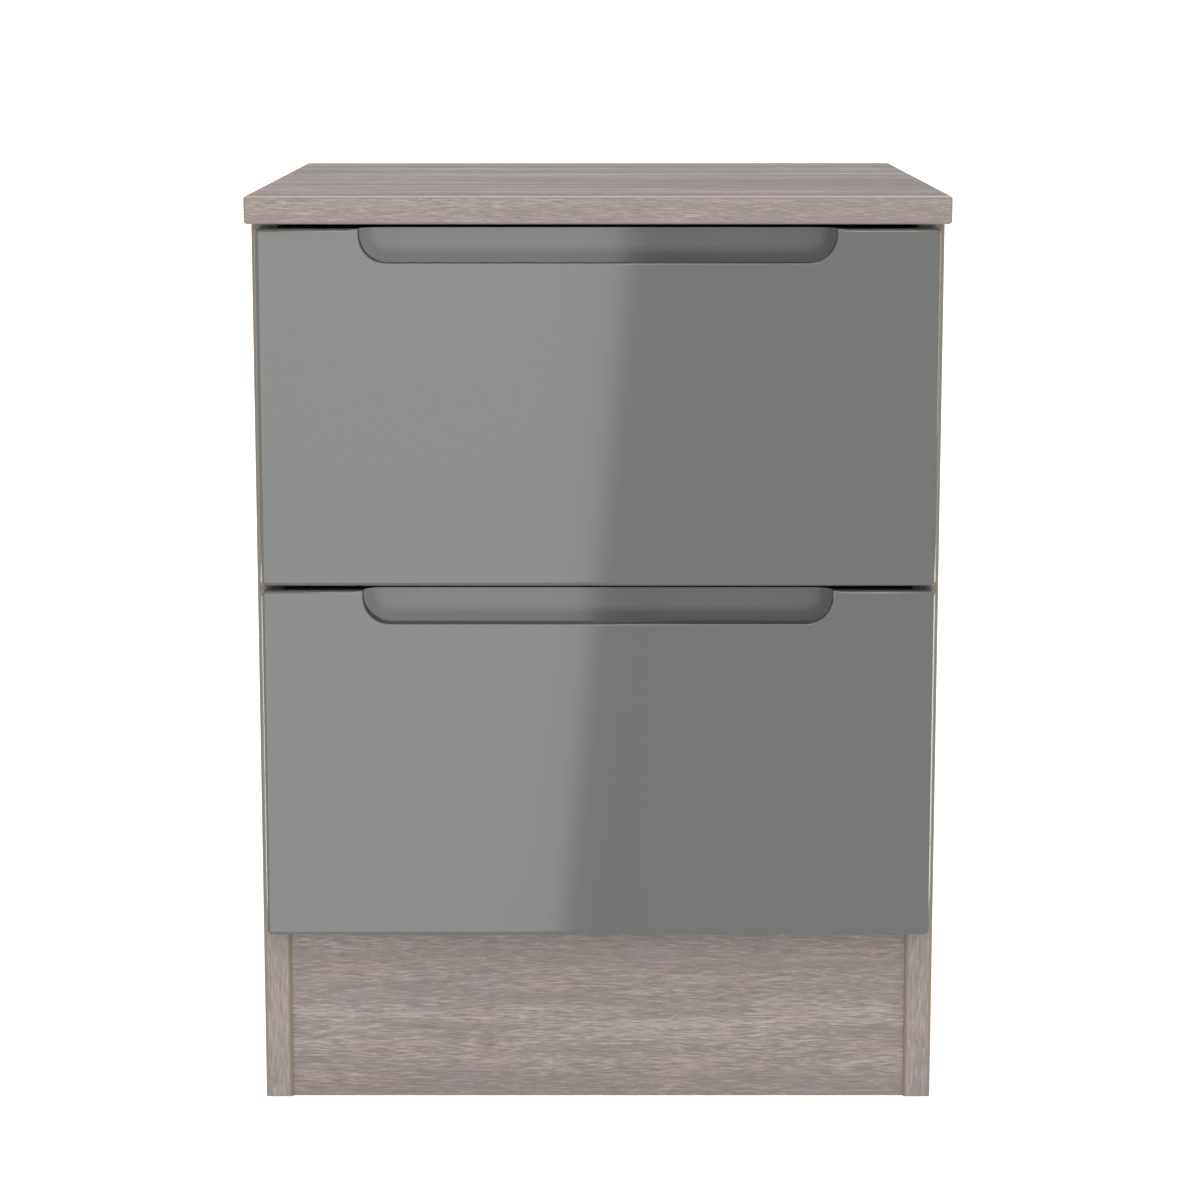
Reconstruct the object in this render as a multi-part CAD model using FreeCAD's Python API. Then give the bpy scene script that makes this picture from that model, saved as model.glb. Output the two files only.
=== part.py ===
"""Nightstand with two drawers: a board carcass, scooped drawer fronts and roller runners.

Millimetres. +X is to the right, +Y to the back and +Z up, seen from the front. The origin is on the
floor, under the middle of the top panel. Every piece is one solid in its own file, and fasteners of
one kind share a file as separate solids.
"""
import FreeCAD, Part
import math
import os

Vector = FreeCAD.Vector
RIGHT = Vector(1, 0, 0)
BACK = Vector(0, 1, 0)
UP = Vector(0, 0, 1)

# ---- Driving dimensions: the whole piece
width = 400.0
depth = 418.0
height = 536.0

# ---- Carcass boards
board = 16.0                # top, sides, base and plinth
sheet = 3.0                 # hardboard of the carcass back and the drawer bottoms
edge_radius = 2.0           # rounding of the edge bands
top_side_overhang = 2.0     # top panel past each side panel
plinth_height = 108.0
plinth_setback = 2.0        # plinth and base behind the side panels' front edges
sheet_margin = 1.0          # back sheet inside the carcass outline

# ---- Drawer fronts
front_thickness = 18.0
front_setback = 2.0         # front faces behind the top panel's front edge
front_margin = 3.5          # side edge of a front inside the carcass outline
front_gap = 2.5             # above and between the fronts
front_floor_gap = 105.0     # floor to the lower front
front_radius = 2.0          # rounding of a front's face edges
bumper_thickness = 2.0      # closed front to carcass
bumper_radius = 4.0
bumper_inset = 24.0         # bumper to the front's upper and lower edges

# ---- Finger scoop in the upper edge of a front
scoop_width = 271.0
scoop_height = 19.5         # lip below the front's upper edge
scoop_depth = 12.0
scoop_corner_radius = 16.0
scoop_cove_radius = 8.0

# ---- Drawer boxes
box_board = 12.0
box_lift = 28.0             # box above the front's lower edge
box_drop = 47.0             # box below the front's upper edge
bottom_lift = 12.0          # drawer bottom above the box's lower edge
groove_depth = 6.0
groove_play = 0.5           # drawer bottom short of its grooves' ends

# ---- Roller runners
runner_clearance = 12.5     # drawer box to side panel, each side
runner_step = 50.0          # runners are made in steps of this length
runner_rear_room = 10.0     # least room behind a cabinet rail
runner_overlap = 90.0       # rail length that stays together when the drawer is open
rail_setback = 2.0          # cabinet rail behind the side panel's front edge
rail_steel = 1.2
rail_foot = 11.0            # flange under the drawer side
channel_bottom = 2.0        # cabinet channel above the box's lower edge
channel_height = 17.0
channel_side_play = 1.3     # channel to the web of the drawer rail
channel_opening = 25.0      # upper flange cut away over the front roller
track_lip = 4.2             # drawer rail's track turned down over the channel
track_play = 0.8            # lip above the channel
track_side_play = 1.5       # track to side panel
roller_play = 0.3           # rollers to the surfaces they run on
roller_side_play = 0.4      # front roller to the lip
roller_web_play = 0.8       # rear roller to its own web
roller_inset = 12.0         # roller axle to its rail's end
roller_rim = 0.6
cabinet_roller_radius = 8.5
rivet_radius = 2.5
rivet_head_radius = 4.0
rivet_head_height = 1.0
rivet_head_play = 0.2       # rivet head to its roller
rivet_side_play = 0.7       # rivet head to the screw heads or web across from it
running_fit = 0.05
stop_drop = 2.8             # stop pressed down from the channel's upper flange
stop_length = 2.0

# ---- Cam fittings, dowels, screws and nails
cam_radius = 7.5            # in the 16 mm boards
box_cam_radius = 6.0        # in the drawer sides
cam_below = 4.0             # cam past the pin's line
cam_cross = 5.0
cam_cross_slot = 1.4
cam_cross_depth = 2.0
cam_inset = 50.0            # cam to the board's front and rear ends
pin_reach = 24.0            # joint face to cam centre
pin_thread_length = 11.0
pin_thread_radius = 3.0
pin_shank_radius = 2.5
pin_head_radius = 3.2
pin_head_length = 3.0
pin_bore_radius = 3.8
dowel_radius = 4.0
box_dowel_radius = 3.0
dowel_length = 30.0
dowel_in_face = 11.0        # dowel in the board whose face it enters, the rest in the other's edge
dowel_end_play = 1.0
dowel_offset = 32.0         # dowel to the cam beside it
seat_fit = 0.05             # round fastener to its hole
screw_radius = 1.75
screw_head_radius = 3.5
screw_head_height = 1.4
screw_cross = 3.4
screw_cross_slot = 0.8
screw_cross_depth = 0.8
side_screw_length = 13.0
foot_screw_length = 10.0
back_screw_length = 40.0
nail_radius = 0.8
nail_length = 16.0
nail_head_radius = 2.0
nail_head_height = 0.6
nail_spacing = 95.0

# ---- Places that follow from the dimensions above
top_front = -depth / 2
rear = depth / 2
underside = height - board
front_face = top_front + front_setback
front_back = front_face + front_thickness
side_front = front_back + bumper_thickness
side_rear = rear - sheet
outer = width / 2 - top_side_overhang
inner = outer - board
plinth_front = side_front + plinth_setback
base_top = plinth_height + board
front_half = outer - front_margin
front_height = (underside - front_floor_gap - 2 * front_gap) / 2

rail_room = side_rear - side_front - rail_setback - runner_rear_room
rail_length = runner_step * math.floor(rail_room / runner_step)
travel = rail_length - runner_overlap
rail_front = side_front + rail_setback
box_half = inner - runner_clearance
box_inner = box_half - box_board
box_rear = front_back + rail_length
box_height = front_height - box_lift - box_drop

drawer_web = box_half + rail_steel
track_height = channel_bottom + channel_height + track_play + track_lip
channel_inside = channel_height - 2 * rail_steel
drawer_roller_radius = channel_inside / 2 - roller_play
drawer_axle_lift = channel_bottom + channel_height / 2
cabinet_axle_lift = track_height - rail_steel - roller_play - cabinet_roller_radius
cabinet_axle_y = rail_front + roller_inset
drawer_axle_y = box_rear - roller_inset
dowel_shift = dowel_length / 2 - dowel_in_face

nodes = {}


# ---- Shape helpers
def box(x_low, x_high, y_low, y_high, z_low, z_high):
    """A box between its lowest and highest corner."""
    corner = Vector(x_low, y_low, z_low)
    return Part.makeBox(x_high - x_low, y_high - y_low, z_high - z_low, corner)


def rod(start, direction, radius, length):
    """A round bar from its start point."""
    return Part.makeCylinder(radius, length, start, direction)


def joined(*solids):
    """One solid from touching ones."""
    return solids[0].fuse(list(solids[1:])).removeSplitter()


def put(solid, place, along, outward):
    """A copy moved so that its local X points along and its local Z outward, from the given place."""
    turn = FreeCAD.Rotation(along, outward.cross(along), outward, "XZY")
    copy = solid.copy()
    copy.Placement = FreeCAD.Placement(place, turn).multiply(copy.Placement)
    return copy


def mirrored(solid):
    """The same piece for the left side."""
    return solid.mirror(Vector(0, 0, 0), RIGHT)


def rounded(solid, radius, wanted):
    """The solid with each edge rounded for which wanted(edge) is true."""
    return solid.makeFillet(radius, [edge for edge in solid.Edges if wanted(edge)])


def runs_along(edge, direction):
    """True for a straight edge parallel to direction."""
    ends = edge.Vertexes
    line = ends[-1].Point.sub(ends[0].Point)
    return line.cross(direction).Length < 1e-6 < line.Length


def in_plane(edge, y):
    """True for an edge that lies in the plane at this Y."""
    return abs(edge.BoundBox.YMin - y) < 1e-6 and abs(edge.BoundBox.YMax - y) < 1e-6


def cross_recess(size, slot, recess_depth):
    """A cross cutter that is centred on Z and reaches down from Z = 0."""
    bar = box(-size / 2, size / 2, -slot / 2, slot / 2, -recess_depth, 1)
    return joined(bar, put(bar, Vector(0, 0, 0), BACK, UP))


def spaced(low, high, spacing):
    """Evenly spaced places from low to high, no further apart than spacing."""
    steps = math.ceil((high - low) / spacing)
    return [low + (high - low) * step / steps for step in range(steps + 1)]


# ---- Fasteners: each maker gives the solids and the tools that cut their seats
def cam_joint(place, into, outward, radius, cam_board):
    """A pin screwed into one board at place, and the cam in the board that it reaches into."""
    reach = Vector(pin_reach, 0, 0)
    head_start = reach - RIGHT * (pin_head_length / 2)
    thread = rod(-RIGHT * pin_thread_length, RIGHT, pin_thread_radius, pin_thread_length)
    shank = rod(Vector(0, 0, 0), RIGHT, pin_shank_radius, head_start.x)
    head = rod(head_start, RIGHT, pin_head_radius, pin_head_length)
    pin = joined(thread, shank, head)
    bore = rod(Vector(0, 0, 0), RIGHT, pin_bore_radius, pin_reach + pin_head_length)
    cam_floor = reach - UP * cam_below
    cam_height = cam_below + cam_board / 2
    cross = cross_recess(cam_cross, cam_cross_slot, cam_cross_depth)
    cross.translate(cam_floor + UP * cam_height)
    cam = rod(cam_floor, UP, radius, cam_height).cut([bore, cross])
    thread_hole = rod(-RIGHT * pin_thread_length, RIGHT, pin_thread_radius + seat_fit, pin_thread_length)
    pocket = rod(cam_floor, UP, radius + seat_fit, cam_height)
    return [put(solid, place, into, outward) for solid in (pin, cam, thread_hole, joined(bore, pocket))]


def dowel_joint(place, direction, radius):
    """A dowel centred on the joint, and the tool that bores both boards for it."""
    half = dowel_length / 2
    dowel = rod(place - direction * half, direction, radius, dowel_length)
    bore_half = half + dowel_end_play
    bore = rod(place - direction * bore_half, direction, radius + seat_fit, 2 * bore_half)
    return dowel, bore


def pan_screw(place, into, length):
    """A screw whose head stands on the surface at place, and its hole."""
    head = rod(-RIGHT * screw_head_height, RIGHT, screw_head_radius, screw_head_height)
    cross = cross_recess(screw_cross, screw_cross_slot, screw_cross_depth)
    cross = put(cross, -RIGHT * screw_head_height, UP, -RIGHT)
    shank = rod(Vector(0, 0, 0), RIGHT, screw_radius, length - screw_radius)
    tip = Part.makeCone(screw_radius, 0, screw_radius, RIGHT * (length - screw_radius), RIGHT)
    screw = joined(head, shank, tip).cut(cross)
    hole = rod(Vector(0, 0, 0), RIGHT, screw_radius + seat_fit, length)
    outward = BACK if abs(into.dot(UP)) > 0.5 else UP
    return [put(solid, place, into, outward) for solid in (screw, hole)]


def flush_screw(place, into, length):
    """A screw whose cone head is level with the surface at place, and its hole."""
    cone_height = screw_head_radius - screw_radius
    head = Part.makeCone(screw_head_radius, screw_radius, cone_height, place, into)
    shank = rod(place + into * cone_height, into, screw_radius, length - cone_height)
    wide = screw_radius + seat_fit
    seat = Part.makeCone(screw_head_radius + seat_fit, wide, cone_height, place, into)
    hole = rod(place + into * cone_height, into, wide, length - cone_height)
    return joined(head, shank), joined(seat, hole)


def nail(place, into):
    """A nail whose head is level with the surface at place, and its hole."""
    head = rod(place, into, nail_head_radius, nail_head_height)
    shank = rod(place, into, nail_radius, nail_length)
    seat = rod(place, into, nail_head_radius + seat_fit, nail_head_height)
    hole = rod(place, into, nail_radius + seat_fit, nail_length)
    return joined(head, shank), joined(seat, hole)


def cut(name, *tools):
    """Cut tools out of a node that is already made."""
    nodes[name] = nodes[name].cut(list(tools))


# ---- Carcass boards
def make_boards():
    """Top, two sides, base, plinth and the back sheet."""
    top = box(-width / 2, width / 2, top_front, rear, underside, height)
    nodes["top_panel"] = top.makeFillet(edge_radius, top.Edges)

    side = box(inner, outer, side_front, side_rear, 0, underside)
    side = rounded(side, edge_radius, lambda edge: runs_along(edge, UP) and in_plane(edge, side_front))
    nodes["right_side_panel"] = side
    nodes["left_side_panel"] = mirrored(side)

    nodes["base_panel"] = box(-inner, inner, plinth_front, side_rear, plinth_height, base_top)
    nodes["front_plinth"] = box(-inner, inner, plinth_front, plinth_front + board, 0, plinth_height)
    sheet_half = outer - sheet_margin
    sheet_low = plinth_height + sheet_margin
    sheet_high = underside - sheet_margin
    nodes["back_panel"] = box(-sheet_half, sheet_half, side_rear, rear, sheet_low, sheet_high)


def make_carcass_fittings():
    """Cams and dowels under the top, at the base panel's ends and at the plinth."""
    pins = []
    cams = []
    dowels = []

    def cam_fitting(pinned, holder, place, into, outward):
        pin, cam, thread_hole, pocket = cam_joint(place, into, outward, cam_radius, board)
        pins.append(pin)
        cams.append(cam)
        cut(pinned, thread_hole)
        cut(holder, pocket)

    def dowel_fitting(first, second, place, direction):
        dowel, bore = dowel_joint(place, direction, dowel_radius)
        dowels.append(dowel)
        cut(first, bore)
        cut(second, bore)

    fitting_rows = ((side_front + cam_inset, 1), (side_rear - cam_inset, -1))
    for name, hand in (("left_side_panel", -1), ("right_side_panel", 1)):
        inward = RIGHT * -hand
        dowel_x = hand * (inner - dowel_shift)
        for y, to_middle in fitting_rows:
            dowel_y = y + to_middle * dowel_offset
            top_x = hand * (inner + board / 2)
            cam_fitting("top_panel", name, Vector(top_x, y, underside), -UP, inward)
            dowel_fitting("top_panel", name, Vector(top_x, dowel_y, underside - dowel_shift), UP)
            base_z = plinth_height + board / 2
            cam_fitting(name, "base_panel", Vector(hand * inner, y, base_z), inward, -UP)
            dowel_fitting(name, "base_panel", Vector(dowel_x, dowel_y, base_z), RIGHT)
        plinth_y = plinth_front + board / 2
        plinth_middle = plinth_height / 2
        cam_fitting(name, "front_plinth", Vector(hand * inner, plinth_y, plinth_middle), inward, BACK)
        dowel_fitting(name, "front_plinth", Vector(dowel_x, plinth_y, plinth_middle - dowel_offset), RIGHT)
        base_dowel_place = Vector(hand * inner / 2, plinth_y, plinth_height - dowel_shift)
        dowel_fitting("base_panel", "front_plinth", base_dowel_place, UP)

    nodes["carcass_cam_pins"] = Part.makeCompound(pins)
    nodes["carcass_cams"] = Part.makeCompound(cams)
    nodes["carcass_dowels"] = Part.makeCompound(dowels)


def make_back_nails():
    """Nails through the back sheet into the side panels and the base panel."""
    side_x = inner + board / 2
    base_z = plinth_height + board / 2
    places = []
    for z in spaced(base_z, underside - board, nail_spacing):
        places.append(("left_side_panel", -side_x, z))
        places.append(("right_side_panel", side_x, z))
    for x in spaced(-side_x, side_x, nail_spacing)[1:-1]:
        places.append(("base_panel", x, base_z))
    nails = []
    for behind, x, z in places:
        solid, hole = nail(Vector(x, rear, z), -BACK)
        nails.append(solid)
        cut("back_panel", hole)
        cut(behind, hole)
    nodes["back_panel_nails"] = Part.makeCompound(nails)


# ---- Roller runners
def roller(x_low, x_high, radius, y, z):
    """A wheel on an axle along X, with its rims rounded."""
    wheel = rod(Vector(x_low, y, z), RIGHT, radius, x_high - x_low)
    wheel = rounded(wheel, roller_rim, lambda edge: isinstance(edge.Curve, Part.Circle))
    bore = rod(Vector(x_low, y, z), RIGHT, rivet_radius + running_fit, x_high - x_low)
    return wheel.cut(bore)


def rivet(web_x, head_x, direction, y, z):
    """A shouldered rivet from the outside of a rail's web to the free side of its roller."""
    shank = rod(Vector(web_x, y, z), RIGHT * direction, rivet_radius, abs(head_x - web_x))
    head = rod(Vector(head_x, y, z), RIGHT * direction, rivet_head_radius, rivet_head_height)
    hole = rod(Vector(web_x, y, z), RIGHT * direction, rivet_radius + seat_fit, rail_steel)
    return joined(shank, head), hole


def cabinet_rail(z):
    """The channel on the right side panel, its front roller, rivet and screws, for a box at height z."""
    low = z + channel_bottom
    high = low + channel_height
    web_inside = inner - rail_steel
    flange_x = drawer_web + channel_side_play
    end = rail_front + rail_length
    web = box(web_inside, inner, rail_front, end, low, high)
    floor = box(flange_x, inner, rail_front, end, low, low + rail_steel)
    upper_front = rail_front + channel_opening
    upper = box(flange_x, inner, upper_front, end, high - rail_steel, high)
    # The stop meets the drawer's roller at the end of its travel.
    stop_low = high - rail_steel - stop_drop
    stop_rise = stop_low - (z + drawer_axle_lift)
    stop_reach = math.sqrt(drawer_roller_radius ** 2 - stop_rise ** 2) + roller_play
    stop_rear = drawer_axle_y - travel - stop_reach
    stop = box(flange_x, web_inside, stop_rear - stop_length, stop_rear, stop_low, high)
    rail = joined(web, floor, upper, stop)

    axle_z = z + cabinet_axle_lift
    head_x = drawer_web + rivet_side_play + rivet_head_height
    axle, hole = rivet(inner, head_x, -1, cabinet_axle_y, axle_z)
    wheel_low = head_x + rivet_head_play
    wheel_high = inner - track_side_play - rail_steel - roller_side_play
    wheel = roller(wheel_low, wheel_high, cabinet_roller_radius, cabinet_axle_y, axle_z)
    rail = rail.cut(hole)

    screws = []
    holes = []
    first = rail_front + 2 * channel_opening
    for y in (first, (first + end - roller_inset) / 2, end - roller_inset):
        screw, hole = pan_screw(Vector(web_inside, y, z + drawer_axle_lift), RIGHT, side_screw_length)
        screws.append(screw)
        holes.append(hole)
    return rail.cut(holes), wheel, axle, screws, holes


def drawer_rail(z):
    """The track under the right drawer side, its rear roller, rivet and screws, for a box at height z."""
    foot = box(box_half - rail_foot, drawer_web, front_back, box_rear, z - rail_steel, z)
    web = box(box_half, drawer_web, front_back, box_rear, z - rail_steel, z + track_height)
    track_x = inner - track_side_play
    track_low = z + track_height - rail_steel
    track = box(box_half, track_x, front_back, box_rear, track_low, z + track_height)
    lip_low = z + track_height - track_lip
    lip = box(track_x - rail_steel, track_x, front_back, box_rear, lip_low, z + track_height)
    rail = joined(foot, web, track, lip)

    axle_z = z + drawer_axle_lift
    head_x = inner - rail_steel - screw_head_height - rivet_side_play - rivet_head_height
    axle, hole = rivet(box_half, head_x, 1, drawer_axle_y, axle_z)
    wheel_low = drawer_web + roller_web_play
    wheel = roller(wheel_low, head_x - rivet_head_play, drawer_roller_radius, drawer_axle_y, axle_z)
    rail = rail.cut(hole)

    screws = []
    holes = []
    screw_x = box_half - box_board / 2
    for y in spaced(front_back + 2 * roller_inset, box_rear - 2 * roller_inset, rail_length / 2):
        screw, hole = pan_screw(Vector(screw_x, y, z - rail_steel), UP, foot_screw_length)
        screws.append(screw)
        holes.append(hole)
    return rail.cut(holes), wheel, axle, screws, holes


def make_rails(drawer, z):
    """Both runners of one drawer, with their holes cut in the boards they are fixed to."""
    for role, maker, prefix in (("cabinet", cabinet_rail, ""), ("drawer", drawer_rail, drawer + "_")):
        rail, wheel, axle, screws, holes = maker(z)
        board_of = {"left": prefix + "left_side", "right": prefix + "right_side"}
        if role == "cabinet":
            board_of = {"left": "left_side_panel", "right": "right_side_panel"}
        for side in ("left", "right"):
            turned = mirrored if side == "left" else Part.Shape.copy
            stem = drawer + "_" + side + "_" + role
            nodes[stem + "_rail"] = turned(rail)
            nodes[stem + "_roller"] = turned(wheel)
            cut(board_of[side], *[turned(hole) for hole in holes])
        pair = drawer + "_" + role
        nodes[pair + "_rivets"] = Part.makeCompound([axle, mirrored(axle)])
        nodes[pair + "_rail_screws"] = Part.makeCompound(screws + [mirrored(screw) for screw in screws])


# ---- Drawers
def scooped_front(low):
    """A drawer front with a finger scoop cut into its upper edge, for a lower edge at height low."""
    high = low + front_height
    front = box(-front_half, front_half, front_face, front_back, low, high)
    front = rounded(front, front_radius, lambda edge: runs_along(edge, BACK))
    half = scoop_width / 2
    scoop_back = front_face + scoop_depth
    scoop = box(-half, half, front_face - scoop_depth, scoop_back, high - scoop_height, high + scoop_height)
    scoop = rounded(scoop, scoop_corner_radius,
                    lambda edge: runs_along(edge, BACK) and edge.BoundBox.ZMax < high)
    scoop = rounded(scoop, scoop_cove_radius,
                    lambda edge: in_plane(edge, scoop_back) and edge.BoundBox.ZMin < high)
    return rounded(front.cut(scoop), front_radius, lambda edge: in_plane(edge, front_face))


def make_drawer(drawer, front_low):
    """Front, two sides, back and bottom of one drawer, with everything that holds them together."""
    z = front_low + box_lift
    top = z + box_height
    bottom_low = z + bottom_lift
    bottom_high = bottom_low + sheet
    nodes[drawer + "_front"] = scooped_front(front_low)
    nodes[drawer + "_right_side"] = box(box_inner, box_half, front_back, box_rear, z, top)
    nodes[drawer + "_left_side"] = mirrored(nodes[drawer + "_right_side"])
    back_front = box_rear - box_board
    nodes[drawer + "_back"] = box(-box_inner, box_inner, back_front, box_rear, bottom_high, top)

    groove_half = box_inner + groove_depth
    groove = box(-groove_half, groove_half, front_back - groove_depth, box_rear, bottom_low, bottom_high)
    for name in ("_front", "_left_side", "_right_side"):
        cut(drawer + name, groove)
    bottom_half = groove_half - groove_play
    bottom_front = front_back - groove_depth + groove_play
    bottom = box(-bottom_half, bottom_half, bottom_front, box_rear, bottom_low, bottom_high)
    nodes[drawer + "_bottom"] = bottom

    pins = []
    cams = []
    dowels = []
    back_screws = []
    cam_heights = (bottom_high + dowel_offset / 2, top - dowel_offset * 2 / 3)
    for side, hand in (("_left_side", -1), ("_right_side", 1)):
        middle_x = hand * (box_half - box_board / 2)
        for cam_z in cam_heights:
            place = Vector(middle_x, front_back, cam_z)
            pin, cam, thread_hole, pocket = cam_joint(place, BACK, RIGHT * -hand, box_cam_radius, box_board)
            pins.append(pin)
            cams.append(cam)
            cut(drawer + "_front", thread_hole)
            cut(drawer + side, pocket)
        dowel_place = Vector(middle_x, front_back + dowel_shift, sum(cam_heights) / 2)
        dowel, bore = dowel_joint(dowel_place, BACK, box_dowel_radius)
        dowels.append(dowel)
        cut(drawer + "_front", bore)
        cut(drawer + side, bore)
        screw_heights = (z + track_height + dowel_offset / 2, top - dowel_offset / 2)
        for screw_z in screw_heights:
            place = Vector(hand * box_half, box_rear - box_board / 2, screw_z)
            screw, hole = flush_screw(place, RIGHT * -hand, back_screw_length)
            back_screws.append(screw)
            cut(drawer + side, hole)
            cut(drawer + "_back", hole)

    nails = []
    for x in spaced(-box_inner, box_inner, box_inner / 2)[1:-1]:
        solid, hole = nail(Vector(x, box_rear - box_board / 2, bottom_low), UP)
        nails.append(solid)
        cut(drawer + "_bottom", hole)
        cut(drawer + "_back", hole)

    bumpers = []
    for x in (-(inner + board / 2), inner + board / 2):
        for bumper_z in (front_low + bumper_inset, front_low + front_height - bumper_inset):
            bumpers.append(rod(Vector(x, front_back, bumper_z), BACK, bumper_radius, bumper_thickness))

    nodes[drawer + "_front_cam_pins"] = Part.makeCompound(pins)
    nodes[drawer + "_front_cams"] = Part.makeCompound(cams)
    nodes[drawer + "_front_dowels"] = Part.makeCompound(dowels)
    nodes[drawer + "_back_screws"] = Part.makeCompound(back_screws)
    nodes[drawer + "_bottom_nails"] = Part.makeCompound(nails)
    nodes[drawer + "_bumpers"] = Part.makeCompound(bumpers)


def export_nodes():
    """Write one file for each node."""
    os.makedirs("parts", exist_ok=True)
    for name, shape in nodes.items():
        shape.exportStep(os.path.join("parts", name + ".step"))
        print(name, len(shape.Solids), "solids", round(shape.Volume), "mm3")
    print(len(nodes), "nodes, rails", rail_length, "mm, drawers open", travel, "mm")
    print("front axle y", cabinet_axle_y, "rear axle y", drawer_axle_y, "rear roller", drawer_roller_radius)


front_lows = (front_floor_gap, front_floor_gap + front_height + front_gap)
make_boards()
make_carcass_fittings()
make_back_nails()
for drawer_name, front_low_edge in zip(("lower", "upper"), front_lows):
    make_drawer(drawer_name, front_low_edge)
    make_rails(drawer_name, front_low_edge + box_lift)
export_nodes()
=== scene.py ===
"""Two-drawer nightstand in grey-brown oak laminate with high-gloss grey drawer fronts.

Metres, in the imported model's frame: X to the right, Y to the back, Z up, the floor at Z = 0.
"""
import math

import bpy
import numpy as np
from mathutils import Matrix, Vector


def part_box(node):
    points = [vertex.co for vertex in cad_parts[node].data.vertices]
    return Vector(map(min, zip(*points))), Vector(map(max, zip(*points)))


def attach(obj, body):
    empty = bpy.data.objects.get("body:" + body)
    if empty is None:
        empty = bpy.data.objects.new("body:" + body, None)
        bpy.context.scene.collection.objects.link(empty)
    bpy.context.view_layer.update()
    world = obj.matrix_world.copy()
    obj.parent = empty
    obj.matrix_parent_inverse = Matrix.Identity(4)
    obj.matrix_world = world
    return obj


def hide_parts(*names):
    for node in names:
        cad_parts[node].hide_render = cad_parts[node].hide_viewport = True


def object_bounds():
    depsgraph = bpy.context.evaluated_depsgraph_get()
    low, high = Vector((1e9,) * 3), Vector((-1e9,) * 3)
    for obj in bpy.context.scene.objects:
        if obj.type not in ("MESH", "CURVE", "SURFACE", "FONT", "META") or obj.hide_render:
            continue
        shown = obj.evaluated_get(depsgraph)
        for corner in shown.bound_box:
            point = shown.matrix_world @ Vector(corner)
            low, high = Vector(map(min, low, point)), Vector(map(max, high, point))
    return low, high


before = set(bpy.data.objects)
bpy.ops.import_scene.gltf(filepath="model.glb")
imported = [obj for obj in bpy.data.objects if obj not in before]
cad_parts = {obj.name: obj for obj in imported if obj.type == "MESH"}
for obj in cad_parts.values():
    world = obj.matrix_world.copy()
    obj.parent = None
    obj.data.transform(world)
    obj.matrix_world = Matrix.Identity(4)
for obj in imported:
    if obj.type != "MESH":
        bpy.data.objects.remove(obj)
cad_box = [list(corner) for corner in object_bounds()]
mm = 0.001


# ---------------------------------------------------------------------------------------- studio
# A pale floor under an even white sky. Soft boxes only light the piece and bright cards are only
# seen in its gloss fronts, so each can be set without the other. The fronts don't mirror the floor.
def feed(tree, socket, value):
    """Links an input socket to an output socket, or sets it to a plain value."""
    if isinstance(value, bpy.types.NodeSocket):
        tree.links.new(value, socket)
    else:
        socket.default_value = value


def plug(tree, kind, inputs=None, **settings):
    """Adds a node, sets its properties, and feeds each named input with a socket or a value."""
    added = tree.nodes.new(kind)
    for name, value in settings.items():
        setattr(added, name, value)
    for name, value in (inputs or {}).items():
        feed(tree, added.inputs[name], value)
    return added


def shade(red, green, blue):
    """A paint colour given in display steps of 0 to 255, as the linear values that shaders use."""
    steps = np.array([red, green, blue]) / 255
    linear = np.where(steps <= 0.04045, steps / 12.92, ((steps + 0.055) / 1.055) ** 2.4)
    return (*linear.tolist(), 1.0)


def empty_material(name):
    """A material that holds only its output and one Principled shader, which is returned with it."""
    material = bpy.data.materials.new(name)
    material.use_nodes = True
    tree = material.node_tree
    tree.nodes.clear()
    surface = plug(tree, "ShaderNodeBsdfPrincipled")
    plug(tree, "ShaderNodeOutputMaterial", {"Surface": surface.outputs["BSDF"]})
    return material, tree, surface


scene = bpy.context.scene
scene.view_settings.view_transform = "Standard"

camera_distance = 1.8875
camera_height = 0.6378
camera_side_shift = 0.00114
camera_tilt = math.radians(80)
piece_front = cad_box[0][1]
camera_data = bpy.data.cameras.new("camera")
camera_data.lens = 100
camera = bpy.data.objects.new("camera", camera_data)
camera.location = (camera_side_shift, piece_front - camera_distance, camera_height)
camera.rotation_euler = (camera_tilt, 0, 0)
scene.collection.objects.link(camera)
scene.camera = camera

world = bpy.data.worlds.new("white sky")
world.use_nodes = True
sky = world.node_tree.nodes["Background"]
sky.inputs["Color"].default_value = (1, 1, 1, 1)
sky.inputs["Strength"].default_value = 1.06
scene.world = world


def light_box(name, place, aim, size, radiance, roll=0.0, mirrored=True):
    """A rectangle that either is seen only in mirrors, as a card, or only lights, as a soft box."""
    light = bpy.data.lights.new(name, "AREA")
    light.shape = "RECTANGLE"
    light.size, light.size_y = size
    light.energy = radiance * math.pi * size[0] * size[1]
    lamp = bpy.data.objects.new(name, light)
    lamp.location = place
    lamp.rotation_euler = (Vector(aim) - Vector(place)).to_track_quat("-Z", "Y").to_euler()
    lamp.rotation_euler.rotate_axis("Z", roll)
    lamp.visible_camera = False
    lamp.visible_diffuse = not mirrored
    lamp.visible_glossy = mirrored
    scene.collection.objects.link(lamp)


# The front card ends in a slanted edge, which is the step that both gloss fronts mirror. Its place
# follows from where that edge passes, given at one height. The dim card lies to the right of it.
card_y = -4.0
card_size = (0.85, 6.0)
edge_slant = math.radians(5.37)
edge_across = -0.0135
edge_height = -0.40
card_height = 0.9
along_edge = (card_height - edge_height) * math.tan(edge_slant)
card_x = edge_across + along_edge - card_size[0] / 2 / math.cos(edge_slant)
light_box("front card", place=(card_x, card_y, card_height), aim=(card_x, 0, card_height),
          size=card_size, radiance=2.45, roll=-edge_slant)
light_box("dim card", place=(0.92, card_y, 0.2), aim=(0.92, 0, 0.2), size=(1.5, 6.0), radiance=0.2,
          roll=-edge_slant)

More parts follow.
